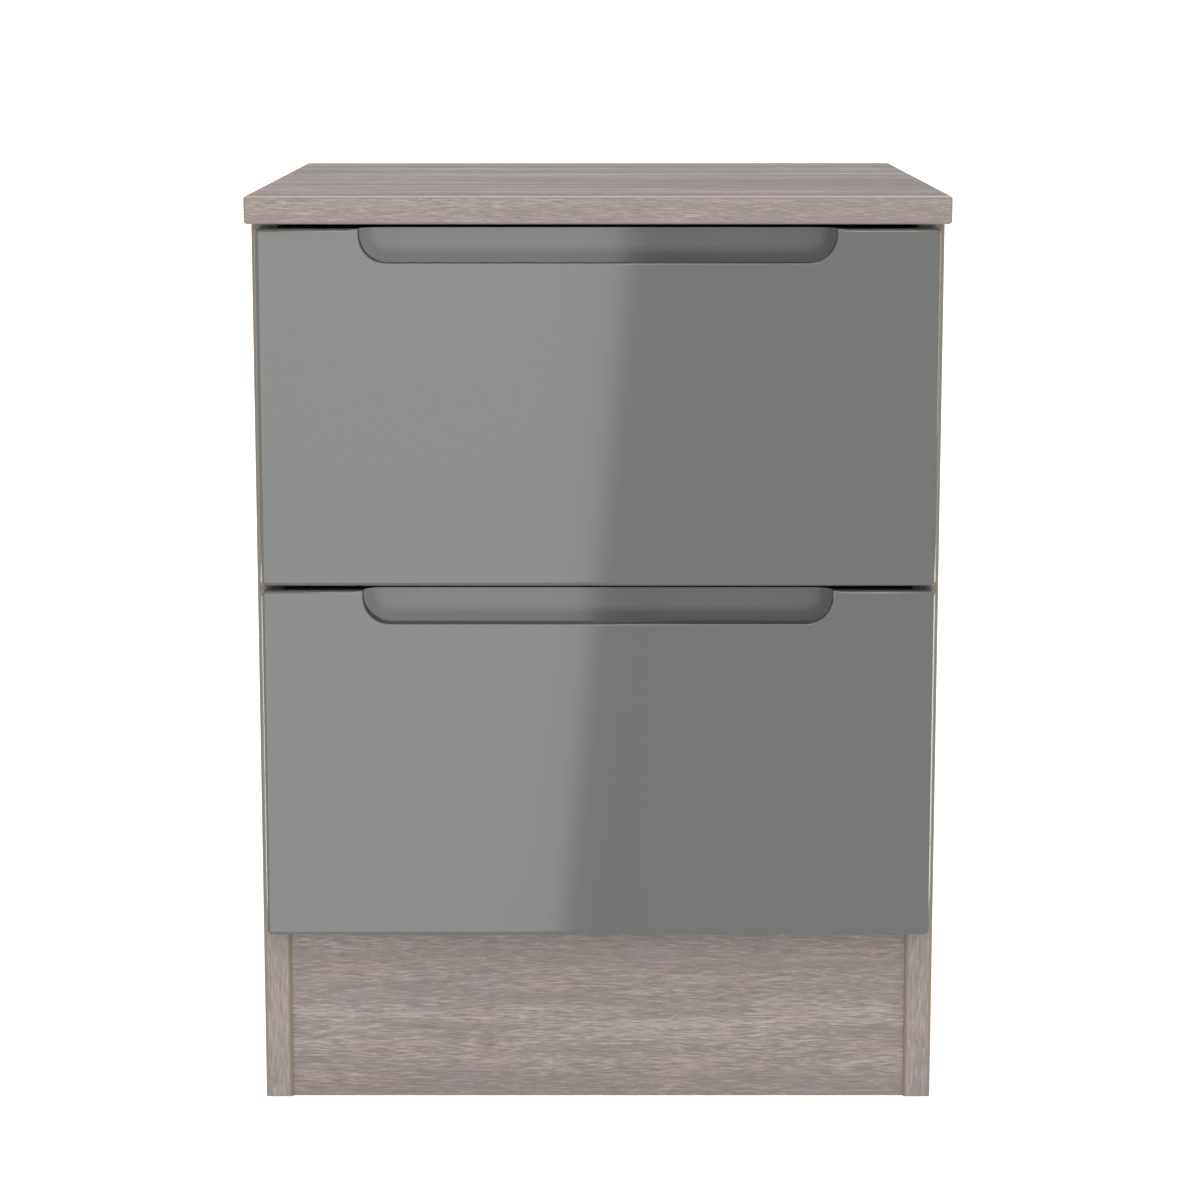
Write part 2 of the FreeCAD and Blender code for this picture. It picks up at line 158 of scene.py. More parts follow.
# The side cards draw the thin bright lines down the fronts' round vertical edges. They stand nearly
# level with the fronts, so the flat faces mirror them only when seen almost edge-on. The strip card
# draws the line along the upper edges.
edge_x = 0.195
edge_y = -0.2
for side in (-1, 1):
    light_box("low side card", place=(side * 1.39, -0.32, -0.04), aim=(side * edge_x, edge_y, -0.04),
              size=(0.44, 0.33), radiance=13.0)
light_box("high side card", place=(1.40, -0.30, 0.50), aim=(edge_x, edge_y, 0.50), size=(0.42, 0.50),
          radiance=5.0)
light_box("rear side card", place=(1.35, 0.20, -0.03), aim=(edge_x, edge_y, -0.03), size=(0.7, 0.34),
          radiance=4.0)
light_box("strip card", place=(0.02, -2.2, 2.9), aim=(0.02, edge_y, 0.5), size=(0.94, 0.8), radiance=9.0)

light_box("front box", place=(0, -2.6, 1.1), aim=(0, -0.1, 0.2), size=(2.6, 1.6), radiance=0.60,
          mirrored=False)
light_box("top box", place=(0.1, -1.5, 2.3), aim=(0, -0.1, 0.2), size=(2.2, 1.8), radiance=0.22,
          mirrored=False)

floor_half = 30.0
floor_mesh = bpy.data.meshes.new("floor")
floor_corners = [(-floor_half, -floor_half, 0), (floor_half, -floor_half, 0),
                 (floor_half, floor_half, 0), (-floor_half, floor_half, 0)]
floor_mesh.from_pydata(floor_corners, [], [(0, 1, 2, 3)])
floor = bpy.data.objects.new("floor", floor_mesh)
scene.collection.objects.link(floor)
floor.visible_glossy = False
floor_material, floor_tree, floor_surface = empty_material("pale floor")
floor_surface.inputs["Base Color"].default_value = (0.97, 0.97, 0.97, 1)
floor_surface.inputs["Roughness"].default_value = 0.9
floor_surface.inputs["Specular IOR Level"].default_value = 0.0
floor_surface.inputs["Emission Color"].default_value = (1, 1, 1, 1)
floor_surface.inputs["Emission Strength"].default_value = 0.5
floor_mesh.materials.append(floor_material)


# ------------------------------------------------------------- side panels, base panel and plinth
# 16 mm chipboard faced with grey-brown oak laminate, its front edges banded and rounded to
# 2 mm, its rear and lower edges left raw. They are cut and drilled boards, joined by cams.
def new_group(name, inputs, outputs):
    """A shader node group with the named sockets, each given as name: (kind, first value)."""
    group = bpy.data.node_groups.new(name, "ShaderNodeTree")
    for socket_name, (kind, value) in inputs.items():
        socket = group.interface.new_socket(socket_name, in_out="INPUT", socket_type=kind)
        socket.default_value = value
    for socket_name, kind in outputs.items():
        group.interface.new_socket(socket_name, in_out="OUTPUT", socket_type=kind)
    return group, group.nodes.new("NodeGroupInput").outputs, group.nodes.new("NodeGroupOutput")


def use_group(tree, group, inputs):
    """Places a node group in a material with its own values."""
    return plug(tree, "ShaderNodeGroup", inputs, node_tree=group).outputs


def noise(tree, place, scale, detail, roughness=0.5):
    """Cloudy noise from 0 to 1; the scale is in clouds per metre."""
    return plug(tree, "ShaderNodeTexNoise", {"Vector": place, "Scale": scale, "Detail": detail,
                                             "Roughness": roughness}).outputs["Fac"]


def streaks(tree, coordinates, length, width, detail, seed):
    """Noise drawn out along X: length along the grain and width across it, both in metres."""
    shift = plug(tree, "ShaderNodeVectorMath", {0: coordinates, 1: (seed, seed * 0.7, seed * 1.3)},
                 operation="ADD")
    stretch = plug(tree, "ShaderNodeVectorMath",
                   {0: shift.outputs[0], 1: (1 / length, 1 / width, 1 / width)}, operation="MULTIPLY")
    return noise(tree, stretch.outputs[0], scale=1.0, detail=detail, roughness=0.6)


def window(tree, value, low, high):
    """0 where the value is below low, 1 above high and a smooth step between."""
    step = plug(tree, "ShaderNodeMapRange", {"Value": value, "From Min": low, "From Max": high},
                interpolation_type="SMOOTHSTEP")
    return step.outputs["Result"]


def blend(tree, factor, first, second, mode="MIX"):
    """Two colours mixed by a factor: all of the first at 0, all of the second at 1."""
    mix = plug(tree, "ShaderNodeMix", data_type="RGBA", blend_type=mode)
    for name, value in (("Factor", factor), ("A", first), ("B", second)):
        feed(tree, next(s for s in mix.inputs if s.name == name and s.enabled), value)
    return next(s for s in mix.outputs if s.enabled)


def math_node(tree, operation, first, second=0.5):
    """One arithmetic step; steps that take one number ignore the second."""
    return plug(tree, "ShaderNodeMath", {0: first, 1: second}, operation=operation).outputs[0]


def make_oak_grain():
    """Oak print: broad tones, warm and cool streaks, fine fibres, dark pores and cream glints."""
    usual_fibre = 0.014
    group, given, result = new_group(
        "oak grain",
        {"Vector": ("NodeSocketVector", (0, 0, 0)), "Fibre Length": ("NodeSocketFloat", usual_fibre),
         "Fineness": ("NodeSocketFloat", 1.0), "Plank Contrast": ("NodeSocketFloat", 0.5),
         "Contrast": ("NodeSocketFloat", 1.0)},
        {"Color": "NodeSocketColor", "Height": "NodeSocketFloat"})

    # The whole print sways a little across the grain.
    sway = streaks(group, given["Vector"], length=0.10, width=0.035, detail=2.0, seed=0.0)
    swayed = plug(group, "ShaderNodeVectorMath", {0: (0.0, 0.006, 0.006), "Scale": sway},
                  operation="SCALE")
    place = plug(group, "ShaderNodeVectorMath", {0: given["Vector"], 1: swayed.outputs[0]},
                 operation="ADD").outputs[0]

    # The fine parts are scaled by the wanted fibre length along the grain and fineness across it.
    shorten = math_node(group, "DIVIDE", usual_fibre, given["Fibre Length"])
    factors = plug(group, "ShaderNodeCombineXYZ",
                   {"X": shorten, "Y": given["Fineness"], "Z": given["Fineness"]}).outputs[0]
    fine_place = plug(group, "ShaderNodeVectorMath", {0: place, 1: factors},
                      operation="MULTIPLY").outputs[0]
    fibres = streaks(group, fine_place, length=0.010, width=0.0007, detail=2.0, seed=4.0)
    strands = streaks(group, fine_place, length=0.022, width=0.0014, detail=3.0, seed=5.0)
    pores = streaks(group, fine_place, length=0.007, width=0.0006, detail=1.0, seed=6.0)
    glints = streaks(group, fine_place, length=0.008, width=0.0006, detail=1.0, seed=7.0)

    # The broad tones' borders are frayed by the fibres.
    frayed = math_node(group, "MULTIPLY", math_node(group, "SUBTRACT", fibres, 0.5), 0.5)
    plank = streaks(group, place, length=0.80, width=0.040, detail=3.0, seed=8.0)
    plank = math_node(group, "MULTIPLY", math_node(group, "SUBTRACT", plank, 0.5), given["Plank Contrast"])
    plank = math_node(group, "ADD", math_node(group, "ADD", plank, 0.5), frayed)
    broad = streaks(group, place, length=0.16, width=0.012, detail=3.0, seed=1.0)
    broad = math_node(group, "ADD", broad, frayed)
    warm = streaks(group, place, length=0.06, width=0.0040, detail=2.0, seed=2.0)
    warm = math_node(group, "ADD", warm, frayed)
    cool = streaks(group, place, length=0.05, width=0.0035, detail=2.0, seed=3.0)
    cool = math_node(group, "SUBTRACT", cool, frayed)
    colour = blend(group, window(group, plank, 0.36, 0.64), shade(127, 117, 112), shade(158, 149, 144))
    colour = blend(group, window(group, broad, 0.34, 0.66), shade(131, 122, 119), colour)
    colour = blend(group, window(group, warm, 0.52, 0.85), colour, shade(149, 136, 127))
    colour = blend(group, window(group, cool, 0.52, 0.85), colour, shade(138, 135, 135))

    # Fibres and strands lighten and darken the tones, then pores and glints lie over them.
    fibre_share = math_node(group, "MULTIPLY", fibres, 0.65)
    strand_share = math_node(group, "MULTIPLY", strands, 0.35)
    tone = window(group, math_node(group, "ADD", fibre_share, strand_share), 0.30, 0.70)
    lift = plug(group, "ShaderNodeMapRange", {"Value": tone, "To Min": 0.85, "To Max": 1.13}).outputs[0]
    greys = plug(group, "ShaderNodeCombineColor", {0: lift, 1: lift, 2: lift}).outputs[0]
    colour = blend(group, 1.0, colour, greys, "MULTIPLY")
    colour = blend(group, window(group, pores, 0.66, 0.80), colour, shade(112, 102, 98))
    colour = blend(group, window(group, glints, 0.66, 0.82), colour, shade(169, 160, 152))
    even_tone = shade(144, 134, 129)
    feed(group, result.inputs["Color"], blend(group, given["Contrast"], even_tone, colour))
    pits = window(group, pores, 0.60, 0.76)
    feed(group, result.inputs["Height"], math_node(group, "SUBTRACT", tone, pits))
    return group


def make_chipboard():
    """Raw pressed chips: pale flakes among darker glue and dust."""
    group, given, result = new_group("chipboard", {"Vector": ("NodeSocketVector", (0, 0, 0))},
                                     {"Color": "NodeSocketColor", "Height": "NodeSocketFloat"})
    flakes = plug(group, "ShaderNodeTexVoronoi", {"Vector": given["Vector"], "Scale": 620.0})
    dust = noise(group, given["Vector"], scale=900.0, detail=3.0)
    picked = plug(group, "ShaderNodeSeparateColor", {0: flakes.outputs["Color"]}).outputs[0]
    colour = blend(group, picked, shade(150, 118, 84), shade(206, 178, 138))
    colour = blend(group, window(group, dust, 0.35, 0.75), shade(118, 90, 62), colour)
    feed(group, result.inputs["Color"], colour)
    feed(group, result.inputs["Height"], dust)
    return group


def make_handling():
    """Uneven sheen from hands and cloths: broad smears that shift the roughness."""
    group, given, result = new_group(
        "handling marks",
        {"Vector": ("NodeSocketVector", (0, 0, 0)), "Roughness": ("NodeSocketFloat", 0.3),
         "Spread": ("NodeSocketFloat", 0.1)},
        {"Roughness": "NodeSocketFloat"})
    smears = noise(group, given["Vector"], scale=14.0, detail=4.0)
    centred = math_node(group, "SUBTRACT", smears, 0.5)
    offset = math_node(group, "MULTIPLY", centred, given["Spread"])
    feed(group, result.inputs["Roughness"], math_node(group, "ADD", given["Roughness"], offset))
    return group


oak_grain = make_oak_grain()
chipboard = make_chipboard()
handling = make_handling()
edge_band_tan = shade(131, 120, 106)
# The band's tone where it faces upwards: lighter, a painted highlight.
edge_band_highlight = shade(192, 180, 163)


def bump(tree, surface, height, strength, distance):
    """Feeds a height into the shader's normal."""
    raised = plug(tree, "ShaderNodeBump", {"Height": height, "Strength": strength, "Distance": distance})
    feed(tree, surface.inputs["Normal"], raised.outputs["Normal"])


def wear(tree, surface, place, roughness, spread):
    """Gives the shader a roughness that varies with the marks of handling."""
    marks = use_group(tree, handling, {"Vector": place, "Roughness": roughness, "Spread": spread})
    feed(tree, surface.inputs["Roughness"], marks["Roughness"])


def finish_oak(tree, surface, grain, band, band_tone, raw=None):
    """Lays the grain on a board, with the tan line on its rounded band and raw chips on cut edges."""
    place = plug(tree, "ShaderNodeTexCoord").outputs["Object"]
    colour = blend(tree, band, grain["Color"], band_tone)
    if raw is not None:
        chips = use_group(tree, chipboard, {"Vector": place})
        colour = blend(tree, raw, colour, chips["Color"])
    feed(tree, surface.inputs["Base Color"], colour)
    surface.inputs["Specular IOR Level"].default_value = 0.1
    wear(tree, surface, place, roughness=0.6, spread=0.16)
    bump(tree, surface, grain["Height"], strength=0.25, distance=0.12 * mm)


def board_oak(name, along, raw_sides, liveliness=1.0):
    """Oak for a CAD board whose grain runs along one axis; raw_sides are cut faces as (axis, sign).

    The band is where the normal lies between X and Y, which is on the round vertical edges.
    """
    material, tree, surface = empty_material(name)
    coordinates = plug(tree, "ShaderNodeTexCoord").outputs
    split = plug(tree, "ShaderNodeSeparateXYZ", {0: coordinates["Object"]}).outputs
    order = [split[(along + step) % 3] for step in range(3)]
    turned = plug(tree, "ShaderNodeCombineXYZ", {"X": order[0], "Y": order[1], "Z": order[2]})
    grain = use_group(tree, oak_grain, {"Vector": turned.outputs[0], "Contrast": liveliness,
                                        "Plank Contrast": liveliness / 2})
    sides = plug(tree, "ShaderNodeSeparateXYZ", {0: coordinates["Normal"]}).outputs
    corner = math_node(tree, "ABSOLUTE", math_node(tree, "MULTIPLY", sides[0], sides[1]))
    band = window(tree, corner, 0.02, 0.22)
    raw = 0.0
    for axis, sign in raw_sides:
        towards = math_node(tree, "MULTIPLY", sides[axis], sign)
        raw = math_node(tree, "MAXIMUM", window(tree, towards, 0.7, 0.9), raw)
    finish_oak(tree, surface, grain, band, edge_band_tan, raw if raw_sides else None)
    return material


def dress(node_name, material):
    """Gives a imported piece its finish."""
    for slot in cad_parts[node_name].material_slots:
        slot.material = material


upright_oak = board_oak("oak laminate upright", 2, ((1, 1.0), (2, -1.0)), 0.75)
level_oak = board_oak("oak laminate level", 0, ((1, 1.0), (2, -1.0)))
dress("left_side_panel", upright_oak)
dress("right_side_panel", upright_oak)
dress("base_panel", level_oak)
dress("front_plinth", board_oak("oak laminate plinth", 0, ((2, -1.0),)))


# ------------------------------------------------------------------------------------- top panel
# The same 16 mm board, larger than the carcass on three sides. All four edges carry a 2 mm band
# that is milled round above and below, so a tan line runs along every corner of the slab, painted
# lighter on the upper corners as a painted highlight.
def closed_mesh(name, patches, polygons, grain_axis=None):
    """One closed surface from grids and flat outlines that share their borders.

    A patch is (points, normals, mask, film): grids of rows x columns. The mask is a share from 0 to
    1 that the material reads. The film is the direction its clear coat faces, or None where that is
    the surface's own. A polygon is (points, normal). Points nearer than 0.1 micrometre are one
    vertex, and each face corner keeps its own normal, so flat areas stay flat and round ones smooth.
    The grain map runs along grain_axis where a face contains it, and along the next axis where not.
    """
    weld_digits = 7
    points, normals, films, masks, quads = [], [], [], [], []
    start = 0
    for grid, grid_normals, grid_mask, grid_film in patches:
        rows, columns = grid.shape[:2]
        index = start + np.arange(rows * columns).reshape(rows, columns)
        corners = np.stack([index[:-1, :-1], index[:-1, 1:], index[1:, 1:], index[1:, :-1]], axis=-1)
        quads.append(corners.reshape(-1, 4))
        points.append(grid.reshape(-1, 3))
        normals.append(grid_normals.reshape(-1, 3))
        films.append((grid_normals if grid_film is None else grid_film).reshape(-1, 3))
        masks.append(np.broadcast_to(grid_mask, (rows, columns)).reshape(-1))
        start += rows * columns
    outlines = []
    for outline, normal in polygons:
        outlines.append(np.arange(start, start + len(outline)))
        points.append(np.asarray(outline, float))
        normals.append(np.broadcast_to(normal, (len(outline), 3)))
        films.append(normals[-1])
        masks.append(np.zeros(len(outline)))
        start += len(outline)
    points, normals = np.concatenate(points), np.concatenate(normals)
    films, masks = np.concatenate(films), np.concatenate(masks)
    vertices, merged = np.unique(np.round(points, weld_digits), axis=0, return_inverse=True)
    merged = merged.reshape(-1)

    # A quad is turned over if it faces inward, and becomes a triangle if two of its corners coincide.
    quads = np.concatenate(quads)
    diagonals = np.cross(points[quads[:, 2]] - points[quads[:, 0]],
                         points[quads[:, 3]] - points[quads[:, 1]])
    inward = (diagonals * normals[quads].sum(axis=1)).sum(axis=1) < 0
    quads[inward] = quads[inward][:, ::-1]
    welded = merged[quads]
    repeats = welded == np.roll(welded, -1, axis=1)
    faces = [list(corners) for corners in quads[repeats.sum(axis=1) == 0]]
    for side in range(4):
        only = (repeats.sum(axis=1) == 1) & repeats[:, side]
        faces += [list(corners) for corners in np.delete(quads[only], side, axis=1)]
    for outline in outlines:
        distinct = merged[outline] != np.roll(merged[outline], 1)
        outline = outline[distinct]
        ring = points[outline]
        area = np.cross(ring, np.roll(ring, -1, axis=0)).sum(axis=0)
        faces.append(list(outline if area @ normals[outline[0]] > 0 else outline[::-1]))

    corner_ids = np.concatenate([np.array(face) for face in faces])
    mesh = bpy.data.meshes.new(name)
    mesh.from_pydata(vertices.tolist(), [], [merged[np.array(face)].tolist() for face in faces])
    mesh.polygons.foreach_set("use_smooth", np.ones(len(faces), bool))
    mask = mesh.attributes.new("mask", "FLOAT", "CORNER")
    mask.data.foreach_set("value", masks[corner_ids].astype(np.float32))
    film = mesh.attributes.new("film", "FLOAT_VECTOR", "CORNER")
    film.data.foreach_set("vector", films[corner_ids].astype(np.float32).reshape(-1))
    if grain_axis is not None:
        lay_grain(mesh, points[corner_ids], normals[corner_ids], [len(face) for face in faces], grain_axis)
    mesh.normals_split_custom_set(normals[corner_ids].tolist())
    piece = bpy.data.objects.new(name, mesh)
    scene.collection.objects.link(piece)
    return piece


def lay_grain(mesh, corners, normals, sizes, grain_axis):
    """A map in metres on every face: U along the grain, V across it, moved apart for each facing."""
    apart = 0.37
    starts = np.concatenate([[0], np.cumsum(sizes)[:-1]])
    facing = np.abs(np.add.reduceat(normals, starts, axis=0)).argmax(axis=1)
    along = np.where(facing == grain_axis, (grain_axis + 1) % 3, grain_axis)
    across = 3 - facing - along
    of_face = np.repeat(np.arange(len(sizes)), sizes)
    rows = np.arange(len(corners))
    u = corners[rows, along[of_face]]
    v = corners[rows, across[of_face]] + facing[of_face] * apart
    layer = mesh.uv_layers.new(name="grain")
    layer.data.foreach_set("uv", np.stack([u, v], axis=1).astype(np.float32).reshape(-1))


def rounded_slab(low, high, radius, steps):
    """A box with round edges: a sphere of that radius whose eight parts are moved to the corners.

    Longitude and latitude run over the sphere in quarter turns, each quarter keeping its own corner
    as centre, so the gaps between quarters are the slab's flat faces. The mask is 0 where the normal
    lies along an axis and 1 well inside the round edges.
    """
    low, high = np.asarray(low), np.asarray(high)
    quarter = np.linspace(0, math.pi / 2, steps + 1)
    longitude = np.concatenate([quarter + turn * math.pi / 2 for turn in range(4)] + [[2 * math.pi]])
    latitude = np.concatenate([quarter - math.pi / 2, quarter])
    part = np.append(np.repeat(np.arange(4), steps + 1), 0)
    x_side = np.isin(part, (0, 3))
    y_side = np.isin(part, (0, 1))
    z_side = np.repeat([False, True], steps + 1)
    lat, lon = np.meshgrid(latitude, longitude, indexing="ij")
    normals = np.stack([np.cos(lat) * np.cos(lon), np.cos(lat) * np.sin(lon), np.sin(lat)], axis=-1)
    sides = (x_side[None, :], y_side[None, :], z_side[:, None])
    centres = [np.where(side, high[axis] - radius, low[axis] + radius) for axis, side in enumerate(sides)]
    centres = np.stack([np.broadcast_to(centre, lat.shape) for centre in centres], axis=-1)
    points = centres + radius * normals
    off_axis = 1 - np.abs(normals).max(axis=-1)
    full_band = 0.2
    band = np.clip(off_axis / full_band, 0, 1)
    caps = [(points[0, ::steps + 1][:4], (0, 0, -1)), (points[-1, ::steps + 1][:4], (0, 0, 1))]
    return (points, normals, band, None), caps


top_low, top_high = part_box("top_panel")
shell, caps = rounded_slab(top_low, top_high, radius=2 * mm, steps=6)
top_panel = closed_mesh("top_slab", [shell], caps, grain_axis=0)
top_material, tree, surface = empty_material("oak laminate top")
grain_map = plug(tree, "ShaderNodeUVMap", uv_map="grain").outputs["UV"]
normal = plug(tree, "ShaderNodeTexCoord").outputs["Normal"]
facing_up = plug(tree, "ShaderNodeSeparateXYZ", {0: normal}).outputs["Z"]
on_face = window(tree, math_node(tree, "ABSOLUTE", facing_up), 0.6, 0.8)
grain_inputs = {"Vector": grain_map}
# The print is coarser on the broad face than on the edge bands: each value is (bands, face).
for name, (on_bands, on_top) in {"Fibre Length": (0.012, 0.030), "Fineness": (1.15, 0.5),
                                 "Plank Contrast": (0.2, 3.2), "Contrast": (0.85, 1.0)}.items():
    grain_inputs[name] = plug(tree, "ShaderNodeMapRange", {"Value": on_face, "To Min": on_bands,
                                                           "To Max": on_top}).outputs["Result"]
grain = use_group(tree, oak_grain, grain_inputs)
band = plug(tree, "ShaderNodeAttribute", attribute_name="mask").outputs["Fac"]
# Upward-facing roundings get the lighter tone, a painted highlight; the others keep the tan.
band_tone = blend(tree, window(tree, facing_up, 0.50, 0.70), edge_band_tan, edge_band_highlight)
finish_oak(tree, surface, grain, band, band_tone)
top_panel.data.materials.append(top_material)
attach(top_panel, "root")
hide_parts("top_panel")


# ---------------------------------------------------------------------------- back sheet and nails
# 3 mm hardboard: pressed brown fibre behind, with a pale lacquered face to the inside. It lies on
# the rear edges of the carcass, held by flat-headed nails.
def make_fibreboard(name, bare_axis, bare_sign):
    """Pale lacquer on the face away from bare_axis and bare_sign, brown fibre on all the others."""
    material, tree, surface = empty_material(name)
    coordinates = plug(tree, "ShaderNodeTexCoord")
    place = coordinates.outputs["Object"]
    fluff = noise(tree, place, scale=260.0, detail=6.0, roughness=0.7)
    cloud = noise(tree, place, scale=9.0, detail=3.0)
    fibre = blend(tree, window(tree, fluff, 0.3, 0.7), shade(112, 84, 60), shade(150, 118, 88))
    fibre = blend(tree, window(tree, cloud, 0.3, 1.0), fibre, shade(140, 112, 84))
    lacquer = blend(tree, window(tree, fluff, 0.2, 0.8), shade(206, 204, 199), shade(220, 218, 213))
    sides = plug(tree, "ShaderNodeSeparateXYZ", {0: coordinates.outputs["Normal"]}).outputs
    bare = window(tree, math_node(tree, "MULTIPLY", sides[bare_axis], bare_sign), -0.5, -0.3)
    feed(tree, surface.inputs["Base Color"], blend(tree, bare, lacquer, fibre))
    wear(tree, surface, place, roughness=0.55, spread=0.2)
    bump(tree, surface, fluff, strength=0.2, distance=0.2 * mm)
    return material


dress("back_panel", make_fibreboard("hardboard back", bare_axis=1, bare_sign=1.0))


# --------------------------------------------------------------------- cams, pins, screws, rivets
# Die-cast cams and turned or rolled steel fasteners, all zinc plated: a grey metal with a faint
# mottle of crystals and stains. The cams are duller than the steel.
def make_zinc(name, roughness, tint):
    """Plated metal with a mottle of crystals."""
    material, tree, surface = empty_material(name)
    place = plug(tree, "ShaderNodeTexCoord").outputs["Object"]
    crystals = plug(tree, "ShaderNodeTexVoronoi", {"Vector": place, "Scale": 900.0})
    stain = noise(tree, place, scale=300.0, detail=4.0)
    picked = plug(tree, "ShaderNodeSeparateColor", {0: crystals.outputs["Color"]}).outputs[0]
    darkest = 0.78
    dark = tuple(channel * darkest for channel in tint[:3]) + (1.0,)
    colour = blend(tree, math_node(tree, "MULTIPLY", picked, stain), tint, dark)
    feed(tree, surface.inputs["Base Color"], colour)
    surface.inputs["Metallic"].default_value = 1.0
    wear(tree, surface, place, roughness, spread=0.25)
    bump(tree, surface, stain, strength=0.15, distance=0.05 * mm)
    return material


cast_zinc = make_zinc("cast zinc", roughness=0.42, tint=shade(178, 178, 176))
bright_zinc = make_zinc("bright zinc", roughness=0.28, tint=shade(206, 206, 202))
dress("carcass_cams", cast_zinc)
dress("carcass_cam_pins", bright_zinc)
dress("back_panel_nails", bright_zinc)


# ---------------------------------------------------------------------------------------- dowels
# Turned beech pegs, pink-brown with short dark flecks. They're pressed into both boards of a joint
# and keep them in line while the cams pull them together.
beech, tree, surface = empty_material("beech")
place = plug(tree, "ShaderNodeTexCoord").outputs["Object"]
flecks = streaks(tree, place, length=0.004, width=0.0006, detail=2.0, seed=1.0)
tones = streaks(tree, place, length=0.03, width=0.004, detail=2.0, seed=2.0)
wood = blend(tree, tones, shade(205, 168, 128), shade(222, 190, 152))
wood = blend(tree, window(tree, flecks, 0.6, 0.75), wood, shade(158, 112, 76))
feed(tree, surface.inputs["Base Color"], wood)
surface.inputs["Roughness"].default_value = 0.6
bump(tree, surface, flecks, strength=0.3, distance=0.1 * mm)
dress("carcass_dowels", beech)


# ------------------------------------------------------------------------------- runners' rails
# Rolled 1.2 mm steel with a white epoxy coat. The cabinet rail is a channel screwed to the side
# panel, and the drawer rail is folded under and beside the drawer side. Rollers wear their tracks.
coated_steel, tree, surface = empty_material("white epoxy on steel")
place = plug(tree, "ShaderNodeTexCoord").outputs["Object"]
peel = noise(tree, place, scale=700.0, detail=2.0)
# The rub marks lie along Y, the way the drawer runs, so they are short in X and drawn out across it.
rubbed = streaks(tree, place, length=0.002, width=0.05, detail=3.0, seed=3.0)
paint = blend(tree, window(tree, rubbed, 0.55, 0.8), shade(228, 228, 224), shade(196, 195, 190))
feed(tree, surface.inputs["Base Color"], paint)
wear(tree, surface, place, roughness=0.34, spread=0.2)
bump(tree, surface, peel, strength=0.12, distance=0.1 * mm)
for drawer in ("lower", "upper"):
    for side in ("left", "right"):
        dress(f"{drawer}_{side}_cabinet_rail", coated_steel)
        dress(f"{drawer}_{side}_drawer_rail", coated_steel)
    dress(f"{drawer}_cabinet_rivets", bright_zinc)
    dress(f"{drawer}_drawer_rivets", bright_zinc)
    dress(f"{drawer}_cabinet_rail_screws", bright_zinc)
    dress(f"{drawer}_drawer_rail_screws", bright_zinc)


# --------------------------------------------------------------------------------------- rollers
# Moulded white nylon wheels that turn on the rivets. Light goes a little way into the nylon, and the
# rails have greyed it.
nylon, tree, surface = empty_material("nylon")
place = plug(tree, "ShaderNodeTexCoord").outputs["Object"]
grime = noise(tree, place, scale=420.0, detail=5.0)
moulded = blend(tree, window(tree, grime, 0.45, 0.8), shade(232, 230, 222), shade(196, 192, 182))
feed(tree, surface.inputs["Base Color"], moulded)
surface.inputs["Subsurface Weight"].default_value = 0.15
surface.inputs["Subsurface Radius"].default_value = (0.002, 0.002, 0.0015)
surface.inputs["Subsurface Scale"].default_value = 0.5
wear(tree, surface, place, roughness=0.4, spread=0.2)
bump(tree, surface, grime, strength=0.1, distance=0.05 * mm)
for drawer in ("lower", "upper"):
    for side in ("left", "right"):
        dress(f"{drawer}_{side}_cabinet_roller", nylon)
        dress(f"{drawer}_{side}_drawer_roller", nylon)


# ---------------------------------------------------------------------------------- drawer boxes
# 12 mm chipboard wrapped in pale grey foil with a woven-linen print. The sides and back stand round
# a lacquered hardboard bottom that slides in a groove, and the back is screwed between the sides.
foil, tree, surface = empty_material("linen foil")
place = plug(tree, "ShaderNodeTexCoord").outputs["Object"]
warp = streaks(tree, place, length=0.006, width=0.0009, detail=1.0, seed=1.0)
next_axis = plug(tree, "ShaderNodeVectorRotate",
                 {"Vector": place, "Axis": (1, 1, 1), "Angle": math.radians(120)}).outputs[0]
weft = streaks(tree, next_axis, length=0.006, width=0.0009, detail=1.0, seed=2.0)
weave = math_node(tree, "MULTIPLY", math_node(tree, "ADD", warp, weft), 0.5)
linen = blend(tree, window(tree, weave, 0.38, 0.62), shade(198, 198, 195), shade(210, 210, 207))
feed(tree, surface.inputs["Base Color"], linen)
wear(tree, surface, place, roughness=0.5, spread=0.2)
bump(tree, surface, weave, strength=0.2, distance=0.1 * mm)
drawer_bottom = make_fibreboard("hardboard drawer bottom", bare_axis=2, bare_sign=-1.0)
for drawer in ("lower", "upper"):
    for board in ("left_side", "right_side", "back"):
        dress(f"{drawer}_{board}", foil)
    dress(f"{drawer}_bottom", drawer_bottom)
    dress(f"{drawer}_front_cams", cast_zinc)
    dress(f"{drawer}_front_cam_pins", bright_zinc)
    dress(f"{drawer}_front_dowels", beech)
    dress(f"{drawer}_back_screws", bright_zinc)
    dress(f"{drawer}_bottom_nails", bright_zinc)
